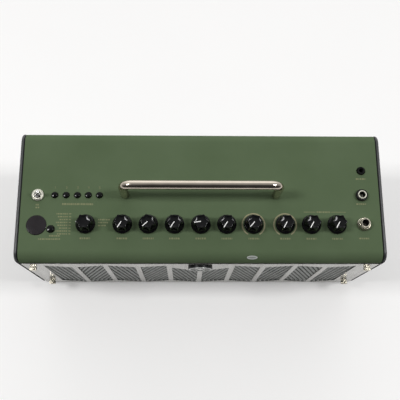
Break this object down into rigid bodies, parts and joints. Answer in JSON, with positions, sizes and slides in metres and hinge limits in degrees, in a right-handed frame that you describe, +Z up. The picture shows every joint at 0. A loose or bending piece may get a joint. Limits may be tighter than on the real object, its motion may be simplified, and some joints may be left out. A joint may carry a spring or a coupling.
{
  "type": "guitar amplifier",
  "caption": "Small desktop guitar amplifier with a bent metal cover, top-mounted knobs, buttons and sockets, a windowed grille and a fixed carry handle.",
  "frame": {"origin": "on the ground under the middle of the bounding box", "axes": "+X to the right seen from the front, +Y to the rear, +Z up"},
  "size_m": [0.36, 0.1376, 0.1836],
  "materials": {
    "green_paint": "satin",
    "cap_plastic": "fine grain",
    "panel_metal": "satin",
    "mesh_metal": "satin",
    "black_plastic": "gloss",
    "nickel": "warm nickel",
    "chrome": "polished",
    "black_metal": "satin",
    "enamel": "gloss",
    "label_metal": "satin",
    "window_acrylic": "gloss",
    "rubber": "matt",
    "black_steel": "matt",
    "board_green": "solder mask",
    "baffle_board": "painted fibreboard",
    "cone_paper": "pressed paper",
    "speaker_steel": "plated"
  },
  "bodies": {
    "housing": {"wrap_cover": "green_paint", "side_cap_left": "cap_plastic", "side_cap_right": "cap_plastic", "front_panel": "panel_metal", "grille_mesh": "mesh_metal", "front_badge": "enamel", "label_plate": "label_metal", "rear_panel": "black_steel", "bottom_plate": "black_steel", "battery_door": "cap_plastic", "handle": "nickel", "handle_nut_left": "chrome", "handle_nut_right": "chrome", "tuner_window": "window_acrylic", "toggle_switch": "chrome", "toggle_nut": "nickel", "input_jack": "nickel", "input_nut": "nickel", "phones_jack": "chrome", "phones_nut": "black_metal", "aux_jack": "black_plastic", "control_board": "board_green", "main_board": "board_green", "speaker_baffle": "baffle_board", "speaker_frame_left": "speaker_steel", "speaker_frame_right": "speaker_steel", "battery_box": "cap_plastic", "dc_jack": "black_plastic", "usb_jack": "chrome", "foot_front_left": "rubber", "foot_front_right": "rubber", "foot_rear_left": "rubber", "foot_rear_right": "rubber", "thumbscrew_upper_left": "nickel", "thumbscrew_upper_right": "nickel", "thumbscrew_lower_left": "nickel", "thumbscrew_lower_right": "nickel"},
    "knob_model": {"knob_model": "black_plastic"},
    "knob_gain": {"knob_gain": "black_plastic"},
    "knob_master": {"knob_master": "black_plastic"},
    "knob_bass": {"knob_bass": "black_plastic"},
    "knob_middle": {"knob_middle": "black_plastic"},
    "knob_treble": {"knob_treble": "black_plastic"},
    "knob_effect": {"knob_effect": "black_plastic"},
    "knob_delay": {"knob_delay": "black_plastic"},
    "knob_guitar_volume": {"knob_guitar_volume": "black_plastic"},
    "knob_audio_volume": {"knob_audio_volume": "black_plastic"},
    "memory_button_1": {"memory_button_1": "black_plastic"},
    "memory_button_2": {"memory_button_2": "black_plastic"},
    "memory_button_3": {"memory_button_3": "black_plastic"},
    "memory_button_4": {"memory_button_4": "black_plastic"},
    "memory_button_5": {"memory_button_5": "black_plastic"},
    "tap_button": {"tap_button": "black_plastic"},
    "toggle_lever": {"toggle_lever": "chrome"},
    "speaker_cone_left": {"speaker_cone_left": "cone_paper"},
    "speaker_cone_right": {"speaker_cone_right": "cone_paper"}
  },
  "joints": [
    {"name": "model_turn", "type": "hinge", "parent": "housing", "child": "knob_model", "pos_m": [-0.1121, -0.0264, 0.145], "axis": [0, 0, -1], "range_deg": [-58, 242]},
    {"name": "gain_turn", "type": "hinge", "parent": "housing", "child": "knob_gain", "pos_m": [-0.0765, -0.0264, 0.145], "axis": [0, 0, -1], "range_deg": [0, 300]},
    {"name": "master_turn", "type": "hinge", "parent": "housing", "child": "knob_master", "pos_m": [-0.0514, -0.0264, 0.145], "axis": [0, 0, -1], "range_deg": [-16, 284]},
    {"name": "bass_turn", "type": "hinge", "parent": "housing", "child": "knob_bass", "pos_m": [-0.026, -0.0264, 0.145], "axis": [0, 0, -1], "range_deg": [-2, 298]},
    {"name": "middle_turn", "type": "hinge", "parent": "housing", "child": "knob_middle", "pos_m": [-0.0005, -0.0264, 0.145], "axis": [0, 0, -1], "range_deg": [-52, 248]},
    {"name": "treble_turn", "type": "hinge", "parent": "housing", "child": "knob_treble", "pos_m": [0.0247, -0.0264, 0.145], "axis": [0, 0, -1], "range_deg": [-2, 298]},
    {"name": "effect_turn", "type": "hinge", "parent": "housing", "child": "knob_effect", "pos_m": [0.0508, -0.0264, 0.145], "axis": [0, 0, -1], "range_deg": [-12, 288]},
    {"name": "delay_turn", "type": "hinge", "parent": "housing", "child": "knob_delay", "pos_m": [0.0817, -0.0264, 0.145], "axis": [0, 0, -1], "range_deg": [0, 300]},
    {"name": "guitar_volume_turn", "type": "hinge", "parent": "housing", "child": "knob_guitar_volume", "pos_m": [0.1072, -0.0264, 0.145], "axis": [0, 0, -1], "range_deg": [0, 300]},
    {"name": "audio_volume_turn", "type": "hinge", "parent": "housing", "child": "knob_audio_volume", "pos_m": [0.1322, -0.0264, 0.145], "axis": [0, 0, -1], "range_deg": [0, 300]},
    {"name": "memory_1_press", "type": "slide", "parent": "housing", "child": "memory_button_1", "axis": [0, 0, -1], "range_m": [0, 0.001], "stiffness_N_per_m": 600},
    {"name": "memory_2_press", "type": "slide", "parent": "housing", "child": "memory_button_2", "axis": [0, 0, -1], "range_m": [0, 0.001], "stiffness_N_per_m": 600},
    {"name": "memory_3_press", "type": "slide", "parent": "housing", "child": "memory_button_3", "axis": [0, 0, -1], "range_m": [0, 0.001], "stiffness_N_per_m": 600},
    {"name": "memory_4_press", "type": "slide", "parent": "housing", "child": "memory_button_4", "axis": [0, 0, -1], "range_m": [0, 0.001], "stiffness_N_per_m": 600},
    {"name": "memory_5_press", "type": "slide", "parent": "housing", "child": "memory_button_5", "axis": [0, 0, -1], "range_m": [0, 0.001], "stiffness_N_per_m": 600},
    {"name": "tap_press", "type": "slide", "parent": "housing", "child": "tap_button", "axis": [0, 0, -1], "range_m": [0, 0.001], "stiffness_N_per_m": 600},
    {"name": "power_toggle", "type": "hinge", "parent": "housing", "child": "toggle_lever", "pos_m": [-0.1598, 0.0027, 0.1472], "axis": [0, -1, 0], "range_deg": [0, 26]},
    {"name": "cone_left_travel", "type": "slide", "parent": "housing", "child": "speaker_cone_left", "axis": [0, -1, 0], "range_m": [-0.0015, 0.0015], "stiffness_N_per_m": 2000},
    {"name": "cone_right_travel", "type": "slide", "parent": "housing", "child": "speaker_cone_right", "axis": [0, -1, 0], "range_m": [-0.0015, 0.0015], "stiffness_N_per_m": 2000}
  ]
}
